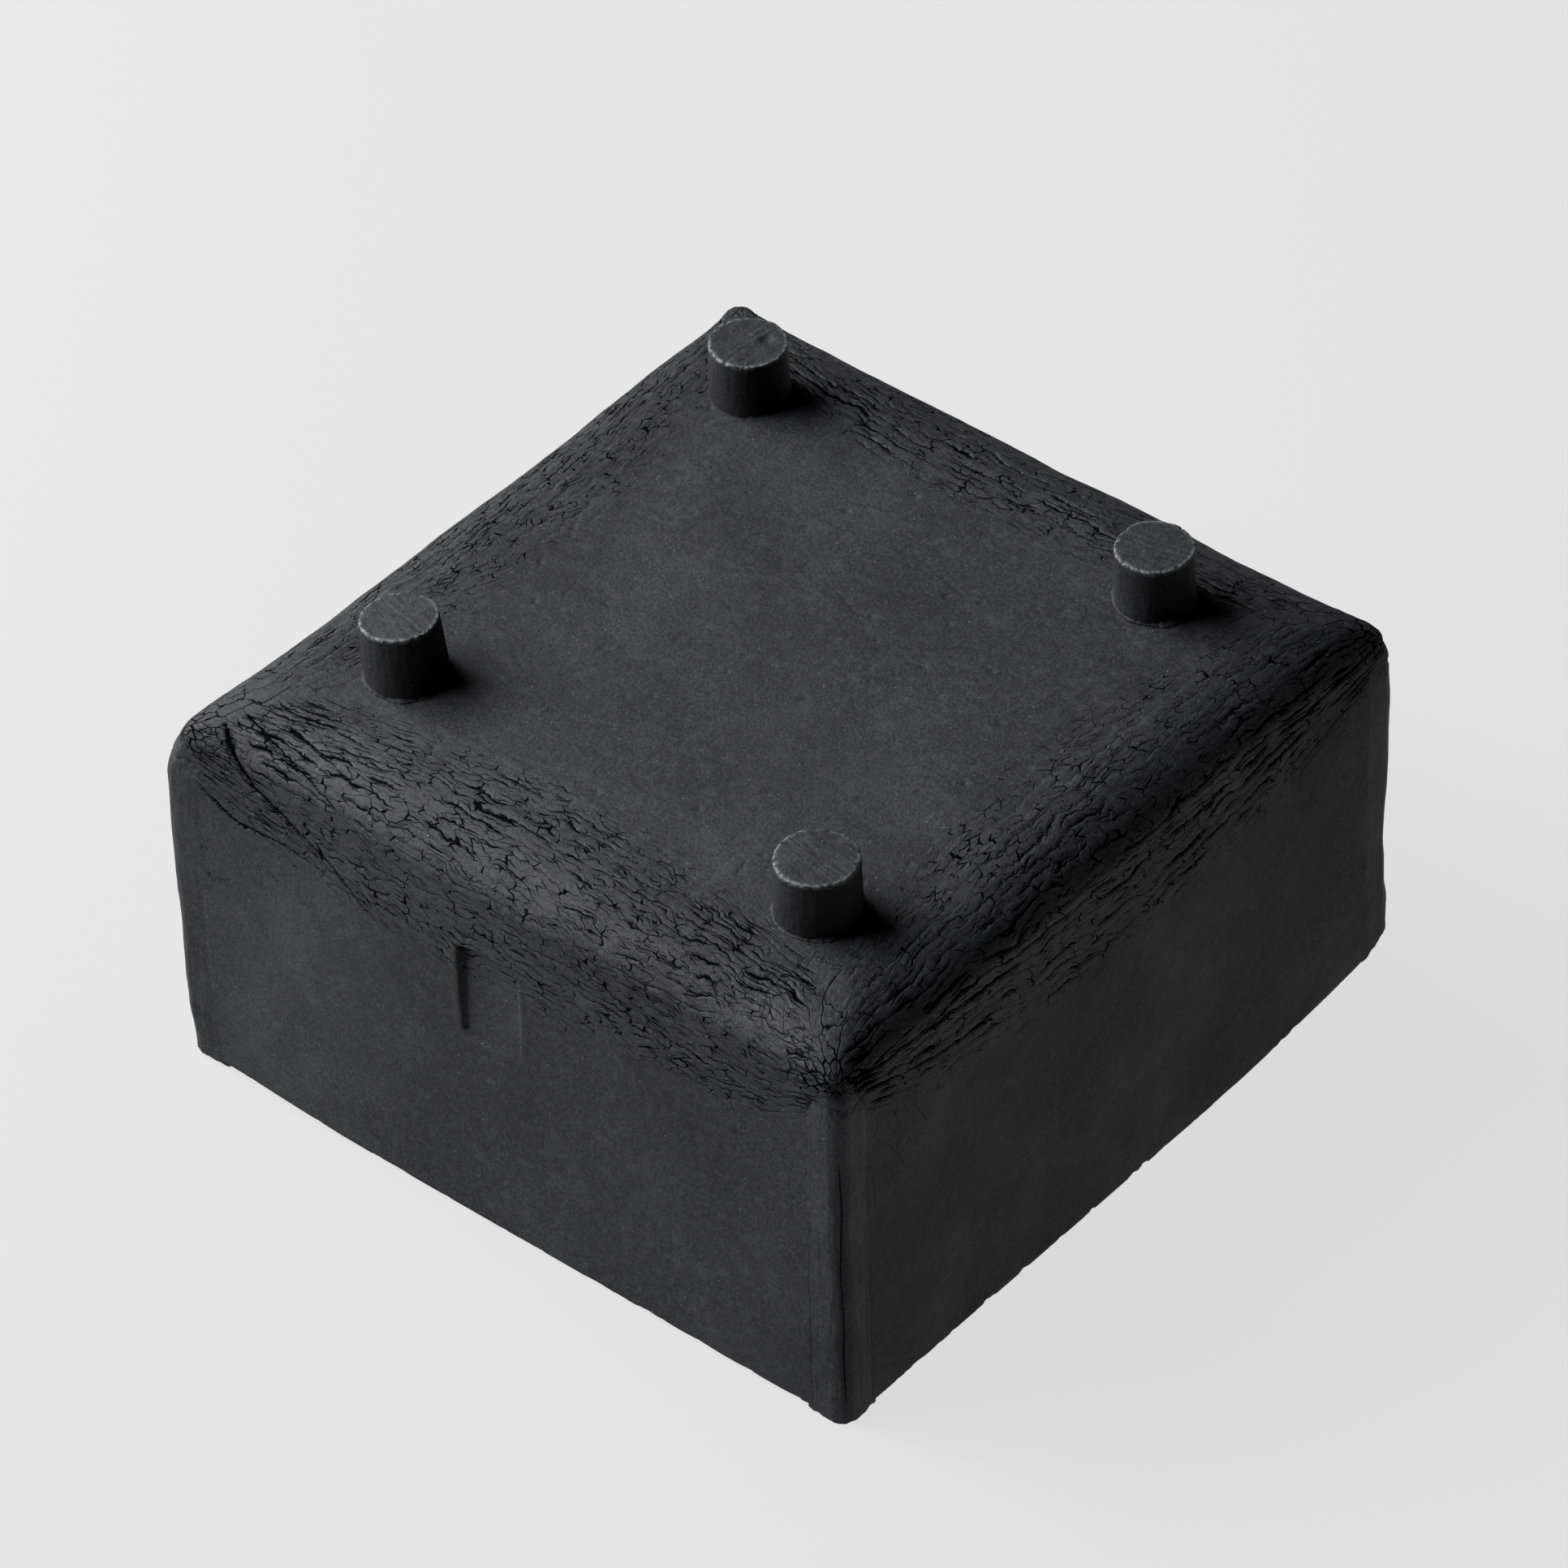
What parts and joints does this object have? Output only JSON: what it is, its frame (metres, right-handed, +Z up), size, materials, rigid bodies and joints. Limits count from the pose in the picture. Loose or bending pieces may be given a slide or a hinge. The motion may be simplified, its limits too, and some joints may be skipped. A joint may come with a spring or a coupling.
{
  "type": "footed square bowl",
  "caption": "Square slab-built bowl in charcoal-black unglazed clay with folded, cracked edges and short cylindrical feet, stored upside down on its rim.",
  "frame": {"origin": "centre of the rim, on the surface the bowl stands on while it is upside down", "axes": "+Z up, from the rim towards the base and feet; -Y towards the wall that carried the maker's stamp; +X towards the wall on that wall's right"},
  "size_m": [0.176, 0.18, 0.113],
  "materials": {
    "body_clay": "unglazed matt black clay, burnished in places, cracked along the folds",
    "seam_clay": "unglazed black clay, smoothed lengthwise with a finger",
    "foot_clay": "unglazed matt black clay with cut ends",
    "slip_clay": "dry unglazed slip, slightly paler"
  },
  "bodies": {
    "root": {"folded_slab": "body_clay", "corner_seam_front": "seam_clay", "corner_seam_left": "seam_clay", "corner_seam_right": "seam_clay", "corner_seam_back": "seam_clay", "foot_front": "foot_clay", "foot_left": "foot_clay", "foot_right": "foot_clay", "foot_back": "foot_clay", "foot_slip_front": "slip_clay", "foot_slip_left": "slip_clay", "foot_slip_right": "slip_clay", "foot_slip_back": "slip_clay"}
  },
  "joints": []
}
